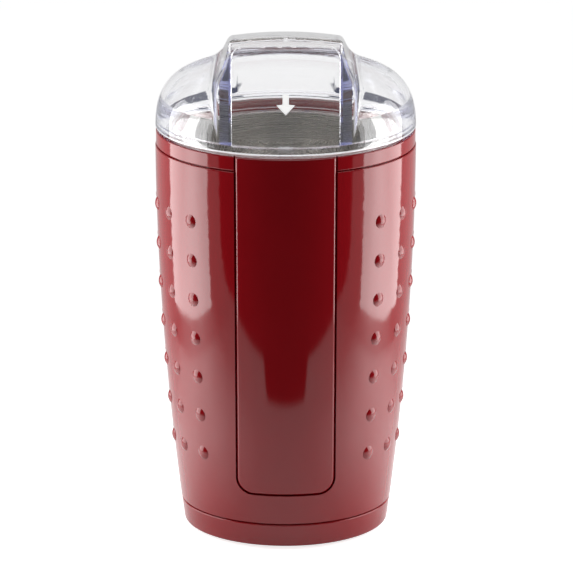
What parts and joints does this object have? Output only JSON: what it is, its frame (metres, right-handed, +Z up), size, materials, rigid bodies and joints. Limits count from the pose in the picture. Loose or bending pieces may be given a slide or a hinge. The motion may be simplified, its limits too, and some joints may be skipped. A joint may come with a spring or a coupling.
{
  "type": "electric blade grinder",
  "caption": "Electric spice and coffee grinder: tapered round body with motor, steel bowl and spinning blade, and a clear lid that is pressed down to run it.",
  "frame": {"origin": "on the resting surface, on the body's axis, at the bottom of the feet", "axes": "+Z up along the motor's axis, front panel and thumb block towards -Y, cord gland towards +Y"},
  "size_m": [0.095, 0.0948, 0.1933],
  "materials": {
    "red_shell": "injection-moulded ABS, polished",
    "clear_lid": "clear styrene-acrylonitrile, polished",
    "drawn_steel": "stainless sheet, drawn and brushed",
    "blade_steel": "stainless strip, ground edge",
    "plated_steel": "zinc plated",
    "shaft_steel": "ground bright steel",
    "spring_steel": "drawn spring wire",
    "lamination_steel": "stacked electrical sheet",
    "diecast": "die-cast, as cast",
    "sintered_bronze": "sintered and oiled",
    "brass_strip": "folded brass strip",
    "enamelled_copper": "enamelled magnet wire",
    "bare_copper": "turned copper",
    "carbon": "pressed graphite",
    "black_rubber": "moulded, matt",
    "grey_rubber": "moulded silicone, satin",
    "black_nylon": "moulded glass-filled nylon",
    "dark_phenolic": "moulded phenolic",
    "white_nylon": "moulded nylon",
    "film_yellow": "potted film capacitor",
    "lead_sleeve": "PVC insulation"
  },
  "bodies": {
    "housing": {"housing_shell": "red_shell", "front_panel": "red_shell", "top_collar": "red_shell", "base_cover": "red_shell", "base_feet": "black_rubber", "base_screws": "plated_steel", "cord_gland": "black_rubber", "grinding_bowl": "drawn_steel", "bowl_seal": "grey_rubber", "bowl_pad": "black_rubber", "shaft_seal": "grey_rubber", "bowl_carrier": "black_nylon", "carrier_screws": "plated_steel", "motor_mounts": "black_rubber", "motor_screws": "plated_steel", "upper_bracket": "diecast", "lower_bracket": "diecast", "bearing_bushes": "sintered_bronze", "stator_core": "lamination_steel", "field_coils": "enamelled_copper", "through_bolts": "plated_steel", "brush_holders": "brass_strip", "carbon_brushes": "carbon", "brush_springs": "spring_steel", "rod_spring": "spring_steel", "switch_body": "dark_phenolic", "switch_screws": "plated_steel", "capacitor": "film_yellow", "terminal_block": "white_nylon", "inner_leads": "lead_sleeve"},
    "rotor": {"motor_shaft": "shaft_steel", "armature_core": "lamination_steel", "armature_windings": "enamelled_copper", "commutator": "bare_copper", "cooling_fan": "black_nylon", "blade_hub": "black_nylon", "blade": "blade_steel", "blade_nut": "plated_steel"},
    "rod": {"push_rod": "white_nylon"},
    "plunger": {"switch_plunger": "white_nylon"},
    "lid": {"lid": "clear_lid"}
  },
  "joints": [
    {"name": "rotor_spin", "type": "hinge", "parent": "housing", "child": "rotor", "pos_m": [0, 0, 0.1], "axis": [0, 0, 1], "continuous": true},
    {"name": "rod_press", "type": "slide", "parent": "housing", "child": "rod", "axis": [0, 0, 1], "range_m": [-0.0008, 0], "stiffness_N_per_m": 1200, "springref_m": 0.004, "deforming": ["rod_spring"]},
    {"name": "plunger_press", "type": "slide", "parent": "housing", "child": "plunger", "axis": [0, 0, 1], "range_m": [-0.0008, 0]},
    {"name": "lid_lift", "type": "slide", "parent": "rod", "child": "lid", "axis": [0, 0, 1], "range_m": [0, 0.08]}
  ],
  "couplings": [
    {"joint": "plunger_press", "follows": "rod_press", "ratio": 1}
  ]
}
